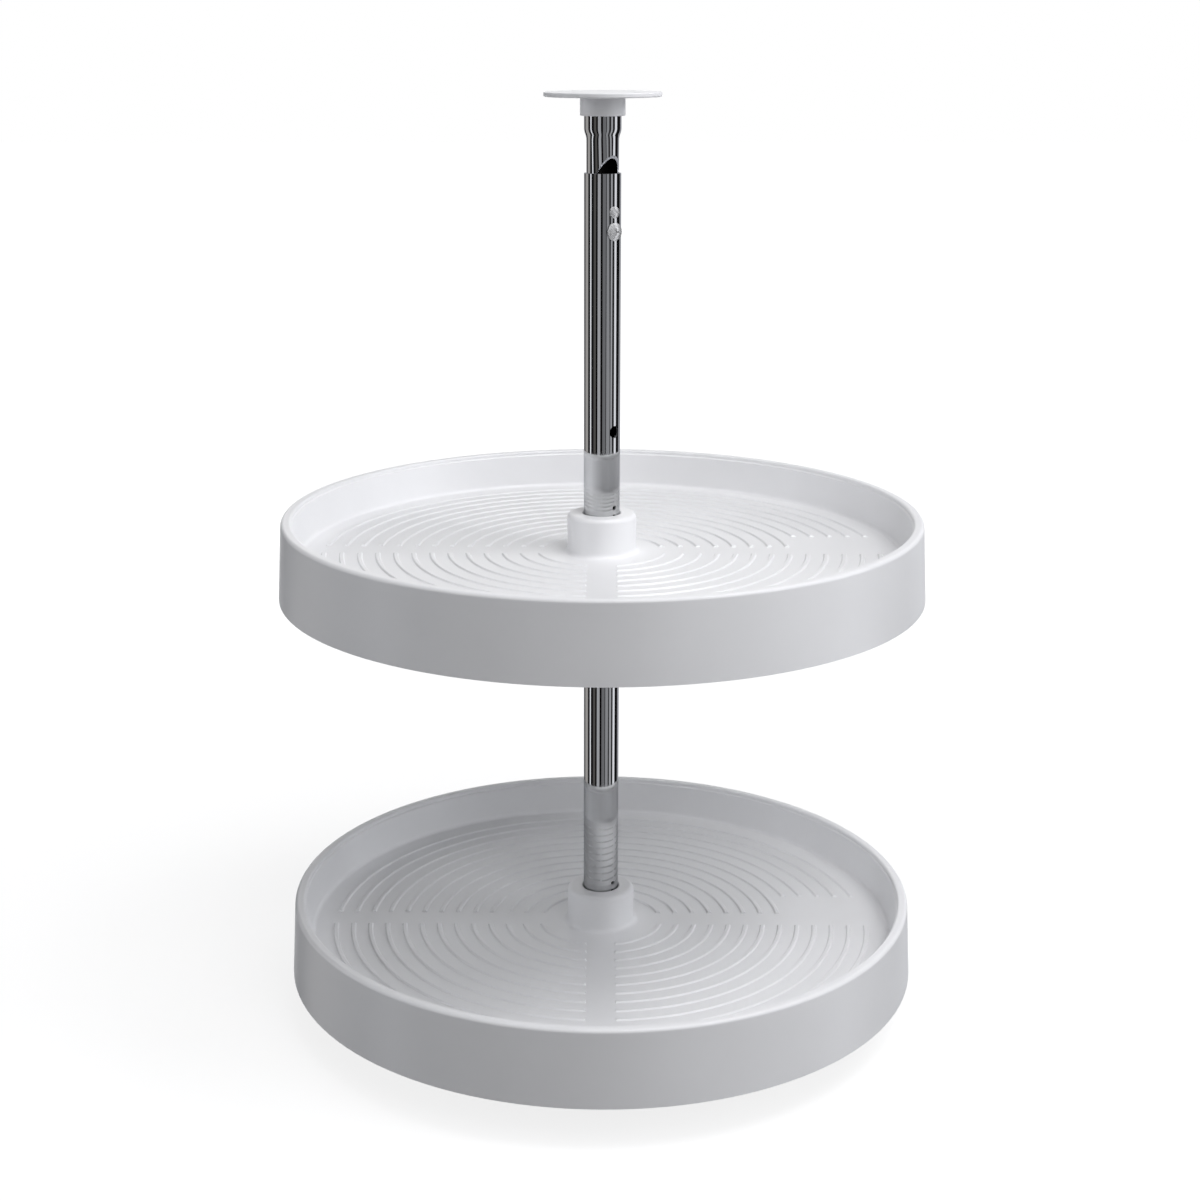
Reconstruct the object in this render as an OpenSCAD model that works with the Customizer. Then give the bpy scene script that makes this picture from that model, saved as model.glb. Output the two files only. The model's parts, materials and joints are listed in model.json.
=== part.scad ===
// Two-tier full-circle rotating tray set on a telescoping pole, for a corner pantry cabinet.
// Millimetres, +Z up. Origin: centre of the bottom plate's underside, on the pole's axis.
// The camera side is -Y. The lock line is the row of holes and screws that faces lock_az.

/* [Trays] */
// Outer radius of a tray at the bottom edge of its skirt
tray_r = 228.6; // [200:0.1:260]
// Height of a tray, from the skirt's bottom edge to the top of the rim
tray_h = 54.4; // [50:0.1:64]
// How much smaller the radius is at the rim than at the skirt's bottom edge
tray_draft = 2.9; // [1:0.1:5]
// Height of the bottom edge of the lower tray above the bottom plate's underside
lower_tray_z = 31; // [28:0.1:60]
// Distance from the lower tray to the upper tray
tray_spacing = 284.9; // [240:0.1:320]
// Height of the floor's upper face above the skirt's bottom edge
floor_h = 26.5; // [22:0.1:30]
// Thickness of the moulded shell
shell_t = 2.6; // [2:0.1:3.2]

/* [Rim and inner wall] */
// Width of the rounded rim, seen from above
rim_w = 7.2; // [5:0.1:8]
// Rounding of the rim's outer edge
rim_round = 2.8; // [1.5:0.1:3.5]
// Rounding of the rim's inner edge
rim_inner_round = 1.6; // [0.6:0.1:2.6]
// Step of the fine line that runs round inside the rim
rim_step = 1; // [0.2:0.1:1.2]
// Solid depth of the rim, down to the hollow under it
rim_solid = 5.4; // [4.5:0.1:7]
// Lean of the inner wall from upright, in degrees
wall_lean = 8.5; // [6:0.1:20]
// Fillet between the inner wall and the floor
wall_fillet = 3; // [2:0.1:9]

/* [Floor ribs] */
// Distance from one circular rib to the next
rib_pitch = 12.7; // [10:0.1:20]
// Width of a rib at its foot
rib_w = 4; // [3:0.1:5]
// Width of a rib at its top
rib_top_w = 2; // [1:0.1:2.6]
// Height of a rib
rib_h = 1; // [0.5:0.1:1.4]
// Distance from the outermost rib's centre line to the foot of the wall fillet
rib_margin = 14.5; // [6:0.1:18]
// Least distance from the hub to the innermost rib's centre line
rib_hub_clear = 19; // [16:0.1:30]
// Width, at the floor, of the smooth cross that parts the ribs into quarters
cross_w = 20; // [12:0.1:30]
// Number of outer ribs that stop short of the bare label panel
label_ribs = 5; // [0:1:6]
// Distance from the cross's centre line to the far side of the label panel
label_reach = 40.5; // [25:0.1:60]

/* [Hub] */
// Outer radius of the hub
hub_r = 24.45; // [22:0.05:30]
// Height of the hub's top above the skirt's bottom edge
hub_h = 54.4; // [50:0.1:60]
// Rounding of the hub's top edge
hub_round = 3.5; // [2:0.1:5]
// Flare where the hub meets the floor
hub_flare = 3.5; // [2:0.1:6]
// Radial gap round the pole at the hub's mouth
mouth_gap = 0.6; // [0.3:0.05:1]
// Chamfer of the hub's mouth
mouth_chamfer = 0.6; // [0.3:0.1:1]
// Solid depth of the hub's top, down to its cored-out underside
hub_solid = 5; // [4:0.1:8]
// Wall of the sleeve that holds the hub bush
sleeve_t = 2; // [1.6:0.1:2.6]
// Height of the sleeve's bottom edge above the skirt's bottom edge
sleeve_z = 9.9; // [8:0.05:14]

/* [Bearing stack] */
// Wall of the hub bush
bush_t = 1.8; // [1.4:0.1:2.2]
// Length of the hub bush above its flange
bush_len = 26; // [18:0.1:32]
// Width of the bush's flange beyond its barrel
bush_flange_w = 2.5; // [1.5:0.1:3]
// Thickness of the bush's flange
bush_flange_t = 2; // [1.2:0.1:2.5]
// Outer diameter of the thrust washer
washer_d = 38; // [34:0.1:44]
// Thickness of the thrust washer
washer_t = 2; // [1.2:0.1:2.5]
// Diameter of the support pin, and of the holes in the pole for it
pin_d = 3; // [2.4:0.1:3.4]
// Length of the support pin
pin_len = 34; // [30:0.1:38]
// Distance between the pin holes
pin_hole_pitch = 6.15; // [5:0.05:8]
// Number of pin holes at each tray
pin_holes = 10; // [9:1:12]

/* [Pole] */
// Outer diameter of the main tube, and of the upper tube's crown
tube_d = 25.4; // [24:0.1:27]
// Wall of the main tube
tube_t = 1.55; // [1.2:0.05:1.8]
// Length of the main tube
tube_len = 603.6; // [560:0.1:680]
// Wall of the upper tube
upper_tube_t = 1; // [0.9:0.05:1.5]
// Length of the upper tube
upper_tube_len = 246.2; // [200:0.1:260]
// Length of the upper tube's full-width crown
crown_len = 20.6; // [18:0.1:40]
// Length of the swaged neck below the crown
swage_len = 8; // [4:0.1:14]
// Stretch of the narrow tube between the swage and the main tube's top, as set in the photo
neck_show = 21.8; // [21.6:0.1:60]

/* [Lock] */
// Direction that the lock screw faces, in degrees from -Y towards +X
lock_az = 40; // [0:1:90]
// Direction that the pin holes and the spare cross hole face
hole_az = 44; // [36:1:60]
// Distance from the upper tube's top to the top of its scooped mouth
mouth_drop = 38.4; // [36:0.1:44]
// Slope of the scooped mouth, height lost per unit of depth
mouth_slope = 1.92; // [1:0.01:2.2]
// Distance from the pole's axis to the open channel's flat edges
channel_edge = 1.9; // [0:0.1:4]
// Distance of the guide rivet below the main tube's top
rivet_drop = 25.7; // [20:0.1:27]
// Distance of the lock screw below the main tube's top
lock_drop = 38.8; // [37:0.1:60]
// Distance of the spare cross hole below the main tube's top
spare_drop = 176.9; // [120:0.1:190]
// Diameter of the spare cross hole
spare_d = 8.5; // [6:0.1:9]
// Diameter of the lock screw's thread
screw_d = 6.35; // [5:0.05:7]
// Diameter of the lock screw's head
head_d = 12.2; // [11:0.1:13]
// Height of the lock screw's domed head
head_h = 1.7; // [1.2:0.1:2.6]
// Height of the upright edge of the lock screw's head
head_edge = 0.4; // [0.2:0.1:0.8]
// Length of one arm of the cross recess, from the head's centre
recess_arm = 2.4; // [2:0.1:3]
// Width of an arm of the cross recess
recess_w = 1.1; // [0.8:0.1:1.8]
// Depth of the cross recess
recess_depth = 1.5; // [0.8:0.1:1.8]
// Outer diameter of the nut inside the main tube
nut_d = 10; // [9:0.1:11]
// Distance from the pole's axis to the nut's inner face
nut_face = 5.5; // [4.5:0.1:7]
// Diameter of the nylon pad on the screw's tip
pad_d = 5; // [4:0.1:5.4]
// Length of the nylon pad
pad_len = 3; // [2:0.1:5]
// Diameter of the spigot that holds the pad in the screw
spigot_d = 2.6; // [1.8:0.1:3]
// Length of that spigot
spigot_len = 1.8; // [1:0.1:3]
// Diameter of the guide rivet's head
rivet_head_d = 8; // [7:0.1:9]
// Height of the rivet's head above the tube
rivet_head_h = 1.2; // [0.9:0.1:1.6]
// Height of the dome on the rivet's head
rivet_dome = 0.8; // [0.4:0.1:1]
// Diameter of the dimple in the rivet's head
rivet_dimple_d = 2.8; // [2:0.1:4]
// Depth of the dimple in the rivet's head
rivet_dimple = 0.4; // [0.2:0.1:0.7]
// Diameter of the rivet's shank
rivet_d = 5; // [4:0.1:5.5]
// Diameter of the rivet's tail inside the tube
rivet_tail_d = 7.5; // [6.5:0.1:8]
// Thickness of the rivet's tail
rivet_tail_t = 1; // [0.6:0.1:1.4]

/* [Plates] */
// Diameter of the round plates at the pole's ends
plate_d = 80; // [74:0.1:100]
// Thickness of a plate
plate_t = 3.2; // [2.8:0.1:5]
// Rounding of a plate's edge
plate_round = 0.8; // [0.4:0.1:1.2]
// Outer diameter of the cup that holds the tube
cup_d = 30.7; // [30:0.1:36]
// Height of the cup above its plate
cup_h = 12.5; // [10:0.1:14]
// Rounding of the cup's edge
cup_round = 0.8; // [0.4:0.1:1.2]
// Diameter of the circle through the mounting holes
plate_pcd = 58; // [52:0.1:62]
// Number of mounting holes in a plate
plate_holes = 4; // [3:1:6]
// Diameter of a mounting hole
plate_hole_d = 4.6; // [3.5:0.1:5.5]
// Diameter of a mounting hole's countersink
plate_sink_d = 9; // [7:0.1:9.6]

/* [Clearances] */
// Radial running clearance of a bush on the pole
run_fit = 0.05; // [0.02:0.01:0.1]
// Gap between the turning flange and the thrust washer
run_gap = 0.05; // [0.02:0.01:0.2]
// Radial clearance of the upper tube in the main tube
slide_fit = 0.05; // [0.02:0.01:0.1]
// Radial clearance of the thrust washer on the pole
washer_fit = 0.15; // [0.05:0.05:0.4]
// Radial clearance of the screw in its nut
thread_fit = 0.05; // [0.02:0.01:0.1]
// Gap between the pad and the upper tube, and under the screw's head
lock_gap = 0.06; // [0.03:0.01:0.2]
// Amount that cutting shapes reach past the faces that they cut
cut_over = 1; // [0.5:0.1:2]

/* [Hidden] */
$fn = 144;

// Radii of the pole
tube_r = tube_d / 2;
tube_in_r = tube_r - tube_t;
upper_r = tube_in_r - slide_fit;
upper_in_r = upper_r - upper_tube_t;

// Levels of the pole
main_top = plate_t + tube_len;
swage_z = main_top + neck_show;
crown_z = swage_z + swage_len;
upper_top = crown_z + crown_len;
overall_h = upper_top + plate_t;
upper_bottom = upper_top - upper_tube_len;
mouth_z = upper_top - mouth_drop;
lock_z = main_top - lock_drop;
rivet_z = main_top - rivet_drop;
spare_z = main_top - spare_drop;

// Levels of the trays and of what carries them
upper_tray_z = lower_tray_z + tray_spacing;
tray_levels = [lower_tray_z, upper_tray_z];
flange_z = sleeve_z - bush_flange_t;
washer_z = flange_z - run_gap - washer_t;
pin_z = washer_z - pin_d / 2;

// Radii of the hub
mouth_r = tube_r + mouth_gap;
bush_in_r = tube_r + run_fit;
bush_r = bush_in_r + bush_t;
sleeve_r = bush_r + sleeve_t;

// The tray's section: rim, inner wall and floor
rim_r = tray_r - tray_draft;
rim_in_r = rim_r - rim_w;
wall_top = [rim_in_r - rim_step, tray_h - rim_inner_round - 2 * rim_step];
wall_foot_z = floor_h + wall_fillet * (1 - sin(wall_lean));
wall_foot_r = wall_top[0] - (wall_top[1] - wall_foot_z) * tan(wall_lean);
floor_r = wall_foot_r - wall_fillet * cos(wall_lean);
under_z = floor_h - shell_t;
hollow_top = tray_h - rim_solid;

// The floor's ribs
rib_last_r = floor_r - rib_margin;
rib_count = 1 + floor((rib_last_r - hub_r - rib_hub_clear) / rib_pitch);

// Place of the screw's parts along the lock line, outwards from the pole's axis
head_seat = tube_r + lock_gap;
pad_tip = -sqrt(upper_in_r * upper_in_r - pad_d * pad_d / 4) + lock_gap;
pad_root = pad_tip + pad_len;
screw_tip = pad_root + run_gap;

// Points along an arc, from angle a0 to angle a1
function arc(centre, r, a0, a1, steps = 8) =
    [for (i = [0:steps]) centre + r * [cos(a0 + (a1 - a0) * i / steps), sin(a0 + (a1 - a0) * i / steps)]];

// Points along a domed face, from its edge to its middle
function dome(r, face, rise) =
    let (ball_r = (r * r + rise * rise) / (2 * rise), half = asin(r / ball_r))
    arc([0, face - ball_r], ball_r, 90 - half, 90, 8);

// Points up the swage, which widens along two equal arcs; inset moves them towards the axis
function swage(inset) =
    let (turn = 2 * atan((tube_r - upper_r) / swage_len), bend_r = swage_len / (2 * sin(turn)))
    concat(arc([upper_r - inset + bend_r, swage_z], bend_r, 180, 180 - turn, 4),
           arc([tube_r - inset - bend_r, crown_z], bend_r, -turn * 3 / 4, 0, 3));

// Radius of the skirt's inner face at a height
function skirt_in_r(z) = tray_r - shell_t - tray_draft * z / tray_h;

// Radius of the inner wall's hidden face at a height
function wall_back_r(z) = wall_top[0] + shell_t / cos(wall_lean) - (wall_top[1] - z) * tan(wall_lean);

tray_outline = concat(
    [[tray_r, 0]],
    arc([rim_r - rim_round, tray_h - rim_round], rim_round, 0, 90),
    arc([rim_in_r + rim_inner_round, tray_h - rim_inner_round], rim_inner_round, 90, 180, 4),
    [[rim_in_r, wall_top[1] + rim_step], wall_top],
    arc([floor_r, floor_h + wall_fillet], wall_fillet, -wall_lean, -90, 8),
    arc([hub_r + hub_flare, floor_h + hub_flare], hub_flare, 270, 180, 5),
    arc([hub_r - hub_round, hub_h - hub_round], hub_round, 0, 90),
    [[mouth_r + mouth_chamfer, hub_h], [mouth_r, hub_h - mouth_chamfer],
     [mouth_r, sleeve_z + bush_len], [bush_r, sleeve_z + bush_len],
     [bush_r, sleeve_z], [sleeve_r, sleeve_z],
     [sleeve_r, hub_h - hub_solid], [hub_r - shell_t, hub_h - hub_solid],
     [hub_r - shell_t, under_z]],
    arc([floor_r, floor_h + wall_fillet], wall_fillet + shell_t, -90, -wall_lean, 8),
    [[wall_back_r(hollow_top), hollow_top], [skirt_in_r(hollow_top), hollow_top],
     [tray_r - shell_t, 0]]
);

// Turns the X axis to a direction, in degrees from -Y towards +X
module facing(az) rotate([0, 0, az - 90]) children();

// A cylinder across the pole, from one distance from its axis to another at a height
module cross_cylinder(az, r, from, to, z) {
    facing(az) translate([from, 0, z]) rotate([0, 90, 0]) cylinder(r = r, h = to - from);
}

// The same along the lock line
module lock_cylinder(r, from, to, z) {
    cross_cylinder(lock_az, r, from, to, z);
}

// One circular rib's section, sunk a little into the floor
module rib_section(r) {
    translate([r, floor_h])
        polygon([[-rib_w / 2, -shell_t / 2], [-rib_w / 2, 0], [-rib_top_w / 2, rib_h],
                 [rib_top_w / 2, rib_h], [rib_w / 2, 0], [rib_w / 2, -shell_t / 2]]);
}

// All ribs as closed rings, less the smooth cross and the label panel
module ribs() {
    cut_h = rib_h + shell_t;
    difference() {
        for (i = [0:rib_count - 1])
            rotate_extrude() rib_section(rib_last_r - i * rib_pitch);
        for (turn = [0, 90])
            rotate([0, 0, turn]) sloped_trench(-tray_r, 2 * tray_r, -cross_w / 2, cross_w / 2, cut_h);
        if (label_ribs > 0)
            label_panel(cut_h);
    }
}

// A trench on the floor along the X axis, whose sides slope outwards so that rib ends are bevelled
module sloped_trench(x, length, y0, y1, h) {
    translate([x, 0, floor_h]) rotate([90, 0, 90]) linear_extrude(length)
        polygon([[y0, 0], [y1, 0], [y1 + h, h], [y0 - h, h]]);
}

// The bare panel in the back right quarter: it takes the near ends off the outer ribs
module label_panel(cut_h) {
    inner_r = rib_last_r - (label_ribs - 0.5) * rib_pitch;
    difference() {
        sloped_trench(0, tray_r, 0, label_reach, cut_h);
        translate([0, 0, floor_h - cut_over]) cylinder(r = inner_r, h = cut_h + 2 * cut_over);
    }
}

module tray(z) {
    color("whitesmoke") translate([0, 0, z]) {
        rotate_extrude() polygon(tray_outline);
        ribs();
    }
}

module bush(z) {
    color("ivory") translate([0, 0, z + flange_z]) difference() {
        union() {
            cylinder(r = bush_r, h = bush_flange_t + bush_len);
            cylinder(r = bush_r + bush_flange_w, h = bush_flange_t);
        }
        translate([0, 0, -cut_over]) cylinder(r = bush_in_r, h = bush_flange_t + bush_len + 2 * cut_over);
    }
}

module washer(z) {
    color("ivory") translate([0, 0, z + washer_z]) difference() {
        cylinder(d = washer_d, h = washer_t);
        translate([0, 0, -cut_over]) cylinder(r = tube_r + washer_fit, h = washer_t + 2 * cut_over);
    }
}

module pin(z) {
    color("gray") cross_cylinder(hole_az, pin_d / 2, -pin_len / 2, pin_len / 2, z + pin_z);
}

module main_tube() {
    color("silver") difference() {
        translate([0, 0, plate_t]) cylinder(r = tube_r, h = tube_len);
        translate([0, 0, plate_t - cut_over]) cylinder(r = tube_in_r, h = tube_len + 2 * cut_over);
        for (level = tray_levels, i = [0:pin_holes - 1])
            cross_cylinder(hole_az, pin_d / 2, -tube_d, tube_d, level + pin_z + i * pin_hole_pitch);
        cross_cylinder(hole_az, spare_d / 2, 0, tube_d, spare_z);
        lock_cylinder(screw_d / 2 + thread_fit, 0, tube_d, lock_z);
        lock_cylinder(rivet_d / 2, 0, tube_d, rivet_z);
    }
}

// The threaded collar inside the main tube, seated on its wall
module lock_nut() {
    color("gray") difference() {
        intersection() {
            lock_cylinder(nut_d / 2, nut_face, tube_r, lock_z);
            cylinder(r = tube_in_r, h = main_top);
        }
        lock_cylinder(screw_d / 2 + thread_fit, 0, tube_d, lock_z);
    }
}

module guide_rivet() {
    head_face = tube_r + rivet_head_h;
    color("darkgray") union() {
        difference() {
            facing(lock_az) translate([0, 0, rivet_z]) rotate([0, 90, 0]) rotate_extrude()
                polygon(concat([[0, tube_in_r], [rivet_head_d / 2, tube_in_r]],
                               dome(rivet_head_d / 2, head_face, rivet_dome)));
            cylinder(r = tube_r, h = main_top);
            lock_cylinder(rivet_dimple_d / 2, head_face - rivet_dimple, head_face + cut_over, rivet_z);
        }
        lock_cylinder(rivet_d / 2, tube_in_r - rivet_tail_t, tube_r + rivet_head_h / 2, rivet_z);
        intersection() {
            lock_cylinder(rivet_tail_d / 2, tube_in_r - rivet_tail_t, tube_r, rivet_z);
            cylinder(r = tube_in_r, h = main_top);
        }
    }
}

module upper_tube_outside() {
    rotate_extrude() polygon(concat([[0, upper_bottom], [upper_r, upper_bottom]], swage(0),
                                    [[tube_r, upper_top], [0, upper_top]]));
}

module upper_tube_bore() {
    rotate_extrude() polygon(concat(
        [[0, upper_bottom - cut_over], [upper_in_r, upper_bottom - cut_over]],
        swage(upper_tube_t),
        [[tube_r - upper_tube_t, upper_top + cut_over], [0, upper_top + cut_over]]));
}

// The slanting mouth and the open channel below it, on the side that faces the lock screw
module channel() {
    far = tube_d;
    foot_z = mouth_z - (upper_r - channel_edge) * mouth_slope;
    facing(lock_az) rotate([90, 0, 0]) translate([0, 0, -far])
        linear_extrude(2 * far) polygon([
            [upper_r, mouth_z], [channel_edge, foot_z], [channel_edge, upper_bottom - cut_over],
            [far, upper_bottom - cut_over], [far, mouth_z]]);
}

module upper_tube() {
    color("silver") difference() {
        upper_tube_outside();
        upper_tube_bore();
        channel();
    }
}

// A round plate with a cup for the tube, its flat face down at z = 0
module plate() {
    plate_r = plate_d / 2;
    cup_r = cup_d / 2;
    cup_top = plate_t + cup_h;
    difference() {
        rotate_extrude() polygon(concat(
            [[0, 0]],
            arc([plate_r - plate_round, plate_round], plate_round, -90, 0, 4),
            arc([plate_r - plate_round, plate_t - plate_round], plate_round, 0, 90, 4),
            [[cup_r, plate_t]],
            arc([cup_r - cup_round, cup_top - cup_round], cup_round, 0, 90, 4),
            [[tube_r, cup_top], [tube_r, plate_t], [0, plate_t]]));
        for (i = [0:plate_holes - 1])
            rotate([0, 0, (i + 0.5) * 360 / plate_holes]) translate([plate_pcd / 2, 0, 0])
                mounting_hole();
    }
}

// A through hole with a countersink on the cup's side
module mounting_hole() {
    sink_h = (plate_sink_d - plate_hole_d) / 2;
    translate([0, 0, -cut_over]) cylinder(d = plate_hole_d, h = plate_t + 2 * cut_over);
    translate([0, 0, plate_t - sink_h])
        cylinder(d1 = plate_hole_d, d2 = plate_sink_d, h = sink_h);
}

module bottom_plate() {
    color("gainsboro") plate();
}

module top_plate() {
    color("gainsboro") translate([0, 0, overall_h]) mirror([0, 0, 1]) plate();
}

module lock_pad() {
    color("white") union() {
        lock_cylinder(pad_d / 2, pad_tip, pad_root, lock_z);
        lock_cylinder(spigot_d / 2, pad_root - pad_len / 2, pad_root + spigot_len, lock_z);
    }
}

// Domed head, shank and a socket for the pad's spigot, along +X from the pole's axis
module lock_screw() {
    head_r = head_d / 2;
    head_face = head_seat + head_h;
    socket_r = spigot_d / 2 + run_fit;
    color("silver") facing(lock_az) translate([0, 0, lock_z]) difference() {
        rotate([0, 90, 0]) rotate_extrude() polygon(concat(
            [[socket_r, screw_tip], [screw_d / 2, screw_tip], [screw_d / 2, head_seat],
             [head_r, head_seat]],
            dome(head_r, head_face, head_h - head_edge),
            [[0, screw_tip + spigot_len + run_gap],
             [socket_r, screw_tip + spigot_len + run_gap]]));
        for (turn = [0, 90])
            rotate([turn, 0, 0]) translate([head_face - recess_depth, -recess_arm, -recess_w / 2])
                cube([recess_depth + cut_over, 2 * recess_arm, recess_w]);
    }
}

bottom_plate();
main_tube();
lock_nut();
guide_rivet();
pin(lower_tray_z);  // lower_pin
pin(upper_tray_z);  // upper_pin
washer(lower_tray_z);  // lower_washer
washer(upper_tray_z);  // upper_washer
tray(lower_tray_z);  // lower_tray
bush(lower_tray_z);  // lower_bush
tray(upper_tray_z);  // upper_tray
bush(upper_tray_z);  // upper_bush
upper_tube();
top_plate();
lock_pad();
lock_screw();
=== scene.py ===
"""Looks of the two-tier rotating tray set: camera, studio, and a node material for every piece.

Metres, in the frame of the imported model: +Z up, -Y towards the camera, origin under the bottom
plate.
"""

import json
import math

import bpy
from mathutils import Matrix, Vector

# ---- Camera: fitted to the outlines of both trays and to the marks on the pole ----
PHOTO_PX = 1200
SENSOR_MM = 36.0
FOCAL_PX = 1993.9
CENTRE_PX = (575.7, 563.1)
CAMERA_BACK = 1.3746
CAMERA_HEIGHT = 0.6985
CAMERA_PITCH = math.radians(14.89)
CAMERA_ROLL = math.radians(-0.05)
CAMERA_YAW = math.radians(-0.77)
# Nearest and farthest that the camera sees
CLIP = (0.01, 100.0)

# ---- Studio ----
WHITE = (1.0, 1.0, 1.0)
STAGE_HALF = 12.0
# The floor takes the object's shadow inside this radius and is plain white from twice as far
SHADOW_RADIUS = 0.6
# What the camera sees of the floor inside that radius: its own glow, and a grey that lamps light
FLOOR_GLOW = 0.82
FLOOR_SHADE = 0.3
# The grey that sends light back up to the object
FLOOR_BOUNCE = 0.22
# Every lamp looks at one point, from the same distance
AIM = (0.0, 0.0, 0.3)
LAMP_DISTANCE = 2.6
LAMP_SIZE = 1.2
# Low lamps are a little cooler than high ones, as the skirts are against the floors
LOW_TINT = (0.94, 0.96, 1.0)
HIGH_TINT = (0.985, 0.985, 1.0)
# Even light from all round, apart from what the camera and mirrors see
AMBIENT = 0.08
WORLD_TINT = (0.97, 0.98, 1.0)
# Lamps from this height up, in degrees, are high ones. Only these show in glossy faces, clear of
# the upright tube.
HIGH_FROM = 30
# Softboxes: direction round the pole, height above the horizon, both in degrees, and watts
LAMPS = {
    "right_low": (80, 15, 16.0),
    "right_high": (75, 55, 19.0),
    "front_low": (20, 18, 5.0),
    "front_right": (30, 35, 6.5),
    "front_high": (0, 50, 7.0),
    "key_high": (40, 68, 20.0),
    "back_right": (140, 15, 10.0),
    "left_low": (-90, 10, 17.0),
}
# The ring of panels that the chrome mirrors: radius, foot, top, and degrees to one flat facet
STRIP_RADIUS = 3.2
STRIP_LOW = -9.0
STRIP_HIGH = 4.2
STRIP_STEP_DEG = 3.0
# Light of a panel of display grey 1, over that of the white backdrop
STRIP_LIGHT = 1.42
# The panels, by direction round the pole: 0 is behind the camera, + is its right. Each is
# (first degree, last degree, display grey, tint). The rest of the ring stays white.
COOL = (0.98, 0.99, 1.04)
WARM = (1.04, 1.0, 0.97)
STRIPS = [
    (-152, -132, 0.05, COOL),
    (-132, -100, 0.64, WARM),
    (-100, -81, 0.16, COOL),
    (-81, -73, 0.98, COOL),
    (-73, -55, 0.10, COOL),
    (-55, -40, 0.32, WARM),
    (-40, -29, 0.02, COOL),
    (-29, -11, 0.66, COOL),
    (-11, 2, 0.05, COOL),
    (2, 22, 0.44, COOL),
    (22, 26, 0.06, COOL),
    (26, 40, 0.57, COOL),
    (40, 54, 0.20, COOL),
    (54, 65, 0.66, COOL),
    (65, 81, 0.15, COOL),
    (81, 99, 0.92, COOL),
    (99, 136, 0.08, COOL),
    (136, 168, 0.70, COOL),
]

# ---- Looks: scales are cycles per metre and depths are metres ----
# A noise keeps mostly between these two values
NOISE_SPAN = (0.3, 0.7)
# Depth of the finest grain and of scratches
FINE_DEPTH = 0.00004

PLASTIC_IOR = 1.49
CLOUD_SCALE = 14.0
GRAIN_SCALE = 2600.0
WAVE_SCALE = 60.0
WAVE_BUMP = 0.08
WAVE_DEPTH = 0.0006
# Moulded plastics: darkest and lightest colour, lowest and highest roughness, strength of grain
PLASTICS = {
    "tray_plastic": ((0.88, 0.88, 0.89), (0.91, 0.91, 0.92), 0.30, 0.38, 0.25),
    "plate_plastic": ((0.88, 0.88, 0.89), (0.91, 0.91, 0.92), 0.42, 0.50, 0.35),
    "bearing_plastic": ((0.76, 0.75, 0.70), (0.80, 0.79, 0.74), 0.38, 0.46, 0.2),
}

MOTTLE_SCALE = 700.0
SCRATCH_SCALES = (4000.0, 4000.0, 250.0)
SCRATCH_BUMP = 0.15
# Turned metals: darkest and lightest colour, lowest and highest roughness, share of metal
METALS = {
    "satin_nickel": ((0.70, 0.70, 0.70), (0.80, 0.80, 0.80), 0.22, 0.34, 0.65),
    "plain_steel": ((0.42, 0.42, 0.43), (0.52, 0.52, 0.53), 0.30, 0.45, 1.0),
}

# How far a tube's face looks away from the axis to be its outside, or towards it to be its bore:
# the blend starts at the first and is whole at the second
SIDE_FROM = 0.70
SIDE_FULL = 0.75
# Plating is whole on faces that look up or down less than the first, and gone from the second,
# so that cut edges lose it
UPRIGHT_FULL = 0.41
UPRIGHT_END = 0.43
HAZE_SCALE = 90.0
HAZE_SPAN = (0.35, 0.75)
HAZE_BUMP = 0.04
HAZE_DEPTH = 0.00002
GRIND_SCALE = 2200.0
# Darkest and lightest colour of each
MIRROR = ((0.545, 0.550, 0.555), (0.575, 0.58, 0.585))
CUT_EDGE = ((0.62, 0.63, 0.66), (0.74, 0.75, 0.78))
# Inside faces: this near-black is painted shade standing in for the shade inside the tube; the
# bare steel there is lighter.
BORE_PAINTED_SHADE = ((0.03, 0.03, 0.03), (0.06, 0.055, 0.05))
MIRROR_ROUGHNESS = (0.015, 0.045)
CUT_EDGE_ROUGHNESS = 0.42
BORE_ROUGHNESS = 0.6
# Colour of the mirror at a grazing angle
MIRROR_RIM = (0.6, 0.6, 0.62, 1.0)


def linear(grey):
    """Turns a display grey, 0 to 1, into linear light."""
    if grey <= 0.04045:
        return grey / 12.92
    return ((grey + 0.055) / 1.055) ** 2.4


# ---- Node helpers ----
def new_material(name):
    """A material with an empty node tree and an output node."""
    material = bpy.data.materials.new(name)
    material.use_nodes = True
    tree = material.node_tree
    tree.nodes.clear()
    output = tree.nodes.new("ShaderNodeOutputMaterial")
    return material, tree, output


def noise(tree, vector, scale, detail):
    """A noise texture that varies over object space, scale in cycles per metre."""
    node = tree.nodes.new("ShaderNodeTexNoise")
    node.inputs["Scale"].default_value = scale
    node.inputs["Detail"].default_value = detail
    tree.links.new(vector, node.inputs["Vector"])
    return node.outputs["Fac"]


def ramp(tree, value, low, high, out_low, out_high):
    """Maps a value from low..high to out_low..out_high, clamped."""
    node = tree.nodes.new("ShaderNodeMapRange")
    node.inputs["From Min"].default_value = low
    node.inputs["From Max"].default_value = high
    node.inputs["To Min"].default_value = out_low
    node.inputs["To Max"].default_value = out_high
    tree.links.new(value, node.inputs["Value"])
    return node.outputs["Result"]


def tint(tree, value, dark, light):
    """Blends two colours by a value."""
    node = tree.nodes.new("ShaderNodeMix")
    node.data_type = "RGBA"
    node.inputs["A"].default_value = (*dark, 1.0)
    node.inputs["B"].default_value = (*light, 1.0)
    tree.links.new(value, node.inputs["Factor"])
    return node.outputs["Result"]


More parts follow.
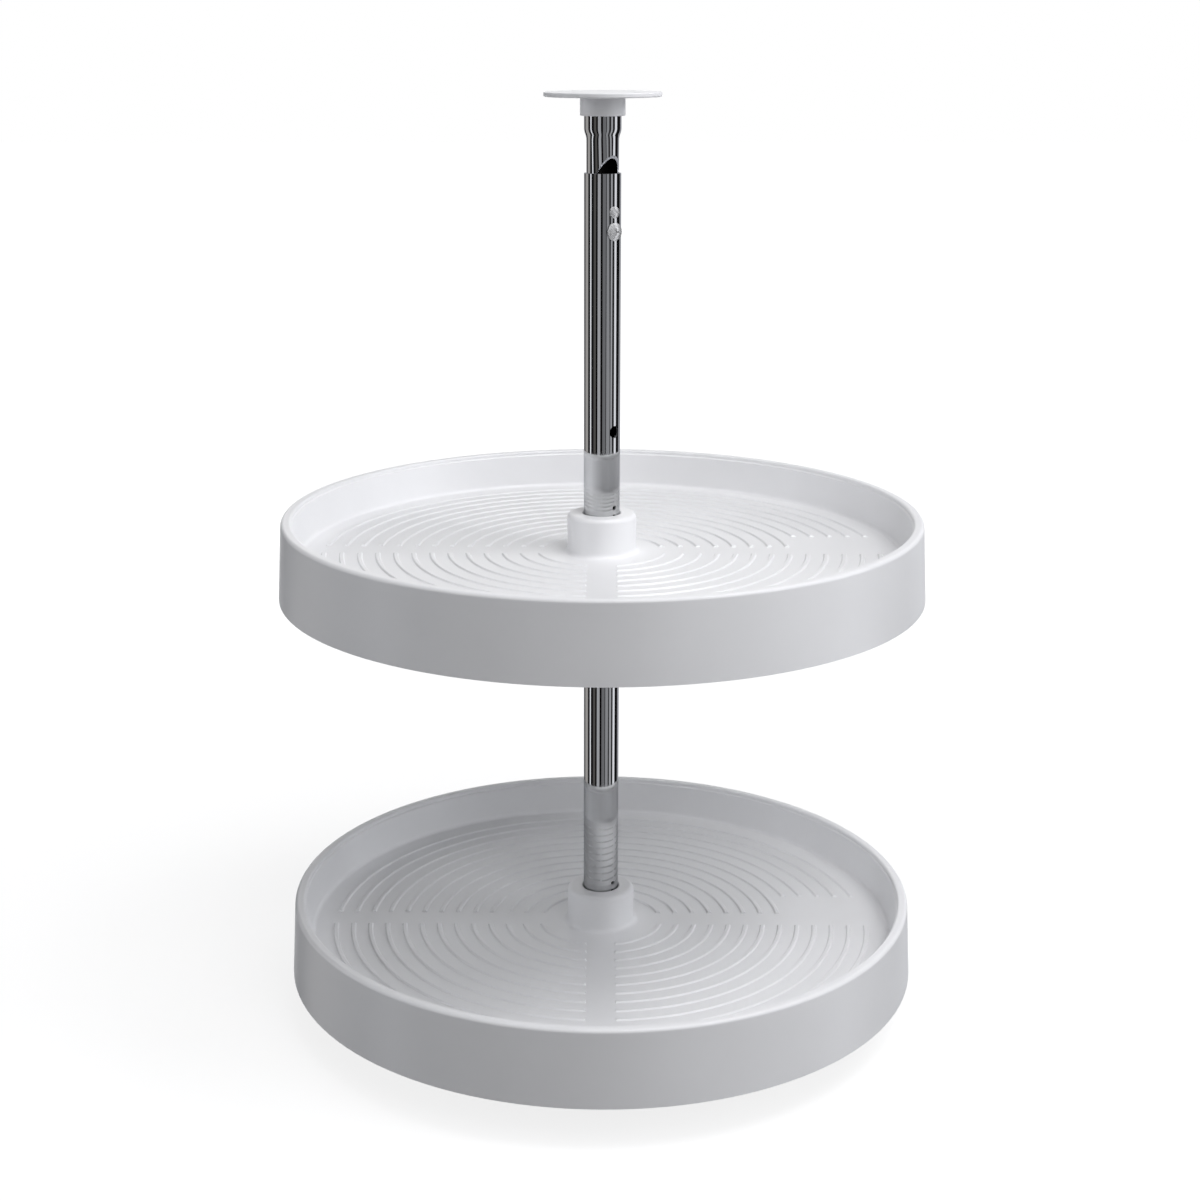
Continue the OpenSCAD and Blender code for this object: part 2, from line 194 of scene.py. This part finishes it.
def choose(tree, factor, low, high):
    """Blends two numbers, given or linked, by a linked factor."""
    node = tree.nodes.new("ShaderNodeMix")
    for name, value in (("A", low), ("B", high)):
        if isinstance(value, float):
            node.inputs[name].default_value = value
        else:
            tree.links.new(value, node.inputs[name])
    tree.links.new(factor, node.inputs["Factor"])
    return node.outputs["Result"]


def blend_colours(tree, factor, low, high):
    """Blends two linked colours by a linked factor."""
    node = tree.nodes.new("ShaderNodeMix")
    node.data_type = "RGBA"
    tree.links.new(factor, node.inputs["Factor"])
    tree.links.new(low, node.inputs["A"])
    tree.links.new(high, node.inputs["B"])
    return node.outputs["Result"]


def bump(tree, height, strength, distance, normal=None):
    """A bump node, chained on another normal where one is given."""
    node = tree.nodes.new("ShaderNodeBump")
    node.inputs["Strength"].default_value = strength
    node.inputs["Distance"].default_value = distance
    tree.links.new(height, node.inputs["Height"])
    if normal is not None:
        tree.links.new(normal, node.inputs["Normal"])
    return node.outputs["Normal"]


def stretched(tree, scale=(1.0, 1.0, 1.0)):
    """Object coordinates, plain or scaled by axis, so that a noise can run in streaks."""
    coords = tree.nodes.new("ShaderNodeTexCoord")
    mapping = tree.nodes.new("ShaderNodeMapping")
    mapping.inputs["Scale"].default_value = scale
    tree.links.new(coords.outputs["Object"], mapping.inputs["Vector"])
    return mapping.outputs["Vector"]


def principled(tree, output, colour, roughness, normal, **sockets):
    """A Principled shader: linked colour, roughness and normal, and plain values for the rest."""
    shader = tree.nodes.new("ShaderNodeBsdfPrincipled")
    tree.links.new(colour, shader.inputs["Base Color"])
    tree.links.new(roughness, shader.inputs["Roughness"])
    tree.links.new(normal, shader.inputs["Normal"])
    for name, value in sockets.items():
        shader.inputs[name.replace("_", " ")].default_value = value
    tree.links.new(shader.outputs["BSDF"], output.inputs["Surface"])


def maths(tree, operation, first, second=None):
    """One step of plain maths on one or two linked numbers."""
    node = tree.nodes.new("ShaderNodeMath")
    node.operation = operation
    tree.links.new(first, node.inputs[0])
    if second is not None:
        tree.links.new(second, node.inputs[1])
    return node.outputs["Value"]


def vector_maths(tree, operation, first, second=None):
    """One step of vector maths; a second vector is a link or three numbers."""
    node = tree.nodes.new("ShaderNodeVectorMath")
    node.operation = operation
    tree.links.new(first, node.inputs[0])
    if isinstance(second, tuple):
        node.inputs[1].default_value = second
    elif second is not None:
        tree.links.new(second, node.inputs[1])
    return node.outputs["Value" if operation in ("DOT_PRODUCT", "LENGTH") else "Vector"]


def glow(tree, colour, strength):
    """An emission shader; its strength is a link or a number."""
    node = tree.nodes.new("ShaderNodeEmission")
    node.inputs["Color"].default_value = (*colour, 1.0)
    if isinstance(strength, float):
        node.inputs["Strength"].default_value = strength
    else:
        tree.links.new(strength, node.inputs["Strength"])
    return node.outputs["Emission"]


def matt(tree, grey):
    """A plain diffuse shader."""
    node = tree.nodes.new("ShaderNodeBsdfDiffuse")
    node.inputs["Color"].default_value = (grey, grey, grey, 1.0)
    return node.outputs["BSDF"]


def backdrop(tree, colour, strength):
    """A background shader for the world."""
    node = tree.nodes.new("ShaderNodeBackground")
    node.inputs["Color"].default_value = (*colour, 1.0)
    node.inputs["Strength"].default_value = strength
    return node.outputs["Background"]


def either_shader(tree, factor, first, second):
    """The first shader where the linked factor is 0 and the second where it is 1."""
    node = tree.nodes.new("ShaderNodeMixShader")
    tree.links.new(factor, node.inputs["Fac"])
    tree.links.new(first, node.inputs[1])
    tree.links.new(second, node.inputs[2])
    return node.outputs["Shader"]


# ---- Materials ----
def moulded_plastic(name, dark, light, rough_low, rough_high, grain):
    """Moulded polymer: faint clouding, a fine moulded grain and a soft sheen."""
    material, tree, output = new_material(name)
    vector = stretched(tree)
    clouds = noise(tree, vector, CLOUD_SCALE, 4.0)
    fine = noise(tree, vector, GRAIN_SCALE, 2.0)
    waves = noise(tree, vector, WAVE_SCALE, 2.0)
    colour = tint(tree, ramp(tree, clouds, *NOISE_SPAN, 0.0, 1.0), dark, light)
    roughness = ramp(tree, clouds, *NOISE_SPAN, rough_low, rough_high)
    normal = bump(tree, waves, WAVE_BUMP, WAVE_DEPTH)
    normal = bump(tree, fine, grain, FINE_DEPTH, normal)
    principled(tree, output, colour, roughness, normal, IOR=PLASTIC_IOR)
    return material


def tube_sides(tree):
    """How far a tube's face looks outwards from the pole's axis, and how far up or down."""
    coords = tree.nodes.new("ShaderNodeTexCoord")
    flat = vector_maths(tree, "MULTIPLY", coords.outputs["Object"], (1.0, 1.0, 0.0))
    outwards = vector_maths(tree, "NORMALIZE", flat)
    facing_out = vector_maths(tree, "DOT_PRODUCT", coords.outputs["Normal"], outwards)
    upright = vector_maths(tree, "DOT_PRODUCT", coords.outputs["Normal"], (0.0, 0.0, 1.0))
    return facing_out, maths(tree, "ABSOLUTE", upright)


def chrome(name):
    """Plated tube: a faintly hazy mirror outside, bright satin cut edges, and dull inside faces
    whose near-black colour is painted shade for the dark inside the tube.
    """
    material, tree, output = new_material(name)
    facing_out, slope = tube_sides(tree)
    facing = ramp(tree, facing_out, SIDE_FROM, SIDE_FULL, 0.0, 1.0)
    # Inward faces: their rough finish is real, their near-black colour is painted shade.
    bore_painted_shade_mask = ramp(tree, facing_out, -SIDE_FULL, -SIDE_FROM, 1.0, 0.0)
    upright = ramp(tree, slope, UPRIGHT_FULL, UPRIGHT_END, 1.0, 0.0)
    outside = choose(tree, upright, 0.0, facing)
    vector = stretched(tree)
    haze = noise(tree, vector, HAZE_SCALE, 4.0)
    grind = noise(tree, vector, GRIND_SCALE, 2.0)
    colour = blend_colours(tree, outside, tint(tree, grind, *CUT_EDGE), tint(tree, haze, *MIRROR))
    # Painted shade: the inward faces take a near-black in place of the shade inside the tube.
    colour = blend_colours(tree, bore_painted_shade_mask, colour, tint(tree, haze, *BORE_PAINTED_SHADE))
    polish = ramp(tree, haze, *HAZE_SPAN, *MIRROR_ROUGHNESS)
    roughness = choose(tree, outside, CUT_EDGE_ROUGHNESS, polish)
    roughness = choose(tree, bore_painted_shade_mask, roughness, BORE_ROUGHNESS)
    normal = bump(tree, haze, HAZE_BUMP, HAZE_DEPTH)
    principled(tree, output, colour, roughness, normal, Metallic=1.0, Specular_Tint=MIRROR_RIM)
    return material


def satin_metal(name, dark, light, rough_low, rough_high, metallic):
    """Nickel or plain steel with a turned, slightly mottled surface."""
    material, tree, output = new_material(name)
    vector = stretched(tree)
    mottle = noise(tree, vector, MOTTLE_SCALE, 3.0)
    scratches = noise(tree, stretched(tree, SCRATCH_SCALES), 1.0, 2.0)
    colour = tint(tree, mottle, dark, light)
    roughness = ramp(tree, mottle, *NOISE_SPAN, rough_low, rough_high)
    normal = bump(tree, scratches, SCRATCH_BUMP, FINE_DEPTH)
    principled(tree, output, colour, roughness, normal, Metallic=metallic)
    return material


def assign(node_object, material):
    """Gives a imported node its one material."""
    if not node_object.material_slots:
        raise RuntimeError("no material slot on " + node_object.name)
    for slot in node_object.material_slots:
        slot.material = material


def dress_nodes(frame):
    """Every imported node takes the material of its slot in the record."""
    materials = {name: moulded_plastic(name, *look) for name, look in PLASTICS.items()}
    materials["tube_chrome"] = chrome("tube_chrome")
    for name, look in METALS.items():
        materials[name] = satin_metal(name, *look)
    for subpart in frame["record"]["subparts"]:
        assign(frame["nodes"][subpart["node"]], materials[subpart["material_slot"]])


# ---- Studio ----
def mesh_object(name, vertices, faces):
    """A mesh object at the origin from plain lists."""
    mesh = bpy.data.meshes.new(name)
    mesh.from_pydata(vertices, [], faces)
    mesh.update()
    thing = bpy.data.objects.new(name, mesh)
    bpy.context.scene.collection.objects.link(thing)
    return thing


def studio_strip(first, last, grey, hue):
    """One tall curved panel that only mirror reflections see."""
    count = max(1, round((last - first) / STRIP_STEP_DEG))
    vertices = []
    for i in range(count + 1):
        angle = math.radians(first + (last - first) * i / count)
        x, y = STRIP_RADIUS * math.sin(angle), -STRIP_RADIUS * math.cos(angle)
        vertices += [(x, y, STRIP_LOW), (x, y, STRIP_HIGH)]
    faces = [(2 * i, 2 * i + 2, 2 * i + 3, 2 * i + 1) for i in range(count)]
    strip = mesh_object("studio_strip_%d" % (first + 180), vertices, faces)
    light = tuple(linear(grey) * share for share in hue)
    material, tree, output = new_material(strip.name)
    tree.links.new(glow(tree, light, STRIP_LIGHT), output.inputs["Surface"])
    strip.data.materials.append(material)
    strip.visible_camera = False
    strip.visible_diffuse = False
    strip.visible_shadow = False
    strip.visible_transmission = False


def pale_floor():
    """A pale floor that is white to the camera apart from the object's soft shadow."""
    half = STAGE_HALF
    floor = mesh_object(
        "floor",
        [(-half, -half, 0), (half, -half, 0), (half, half, 0), (-half, half, 0)],
        [(0, 1, 2, 3)],
    )
    material, tree, output = new_material("floor")
    path = tree.nodes.new("ShaderNodeLightPath")
    side = tree.nodes.new("ShaderNodeNewGeometry")
    coords = tree.nodes.new("ShaderNodeTexCoord")
    reach = vector_maths(tree, "LENGTH", coords.outputs["Object"])
    level = ramp(tree, reach, SHADOW_RADIUS, 2 * SHADOW_RADIUS, FLOOR_GLOW, 1.0)
    seen = tree.nodes.new("ShaderNodeAddShader")
    tree.links.new(matt(tree, FLOOR_SHADE), seen.inputs[0])
    tree.links.new(glow(tree, WHITE, level), seen.inputs[1])
    bounce = matt(tree, FLOOR_BOUNCE)
    above = either_shader(tree, path.outputs["Is Camera Ray"], bounce, seen.outputs["Shader"])
    clear = tree.nodes.new("ShaderNodeBsdfTransparent")
    whole = either_shader(tree, side.outputs["Backfacing"], above, clear.outputs["BSDF"])
    tree.links.new(whole, output.inputs["Surface"])
    floor.data.materials.append(material)
    floor.visible_glossy = False


def white_world():
    """White where the camera, mirrors and glass see it, and a dimmer even light elsewhere."""
    world = bpy.data.worlds.new("studio")
    bpy.context.scene.world = world
    world.use_nodes = True
    tree = world.node_tree
    tree.nodes.clear()
    output = tree.nodes.new("ShaderNodeOutputWorld")
    path = tree.nodes.new("ShaderNodeLightPath")
    seen = maths(tree, "MAXIMUM", path.outputs["Is Camera Ray"], path.outputs["Is Glossy Ray"])
    seen = maths(tree, "MAXIMUM", seen, path.outputs["Is Transmission Ray"])
    dim, bright = backdrop(tree, WORLD_TINT, AMBIENT), backdrop(tree, WHITE, 1.0)
    tree.links.new(either_shader(tree, seen, dim, bright), output.inputs["Surface"])


def softbox(name, round_deg, up_deg, power):
    """A square area lamp at the studio's distance, aimed at the middle of the object."""
    lamp = bpy.data.lights.new(name, "AREA")
    lamp.shape = "SQUARE"
    lamp.size = LAMP_SIZE
    lamp.energy = power
    high = up_deg >= HIGH_FROM
    lamp.color = HIGH_TINT if high else LOW_TINT
    thing = bpy.data.objects.new(name, lamp)
    turn, rise = math.radians(round_deg), math.radians(up_deg)
    level = math.cos(rise)
    away = Vector((level * math.sin(turn), -level * math.cos(turn), math.sin(rise)))
    thing.location = Vector(AIM) + away * LAMP_DISTANCE
    thing.rotation_mode = "QUATERNION"
    thing.rotation_quaternion = (-away).to_track_quat("-Z", "Y")
    thing.visible_glossy = high
    bpy.context.scene.collection.objects.link(thing)


def make_camera():
    """The photograph's camera, turned by its fitted yaw, pitch and roll."""
    forward = Vector(
        (
            math.sin(CAMERA_YAW) * math.cos(CAMERA_PITCH),
            math.cos(CAMERA_YAW) * math.cos(CAMERA_PITCH),
            -math.sin(CAMERA_PITCH),
        )
    )
    level_right = Vector((math.cos(CAMERA_YAW), -math.sin(CAMERA_YAW), 0.0))
    level_up = level_right.cross(forward)
    right = level_right * math.cos(CAMERA_ROLL) + level_up * math.sin(CAMERA_ROLL)
    up = level_up * math.cos(CAMERA_ROLL) - level_right * math.sin(CAMERA_ROLL)
    data = bpy.data.cameras.new("camera")
    data.sensor_width = SENSOR_MM
    data.lens = FOCAL_PX * SENSOR_MM / PHOTO_PX
    data.shift_x = (PHOTO_PX / 2 - CENTRE_PX[0]) / PHOTO_PX
    data.shift_y = (CENTRE_PX[1] - PHOTO_PX / 2) / PHOTO_PX
    data.clip_start, data.clip_end = CLIP
    camera = bpy.data.objects.new("camera", data)
    turn = Matrix((right, up, -forward)).transposed().to_4x4()
    camera.matrix_world = Matrix.Translation((0.0, -CAMERA_BACK, CAMERA_HEIGHT)) @ turn
    bpy.context.scene.collection.objects.link(camera)
    bpy.context.scene.camera = camera


def build_studio():
    """Floor, world, lamps, mirror panels and the plain display transform."""
    bpy.context.scene.view_settings.view_transform = "Standard"
    pale_floor()
    white_world()
    for first, last, grey, hue in STRIPS:
        studio_strip(first, last, grey, hue)
    for name, (round_deg, up_deg, power) in LAMPS.items():
        softbox(name, round_deg, up_deg, power)


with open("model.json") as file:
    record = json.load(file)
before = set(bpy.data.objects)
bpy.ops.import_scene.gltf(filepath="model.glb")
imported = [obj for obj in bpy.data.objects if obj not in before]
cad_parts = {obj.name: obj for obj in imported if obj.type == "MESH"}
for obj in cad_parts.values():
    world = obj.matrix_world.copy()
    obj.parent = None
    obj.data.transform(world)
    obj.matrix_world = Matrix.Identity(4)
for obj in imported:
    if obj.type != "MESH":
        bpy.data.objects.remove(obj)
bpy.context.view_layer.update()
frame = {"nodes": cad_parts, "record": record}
make_camera()
dress_nodes(frame)
build_studio()
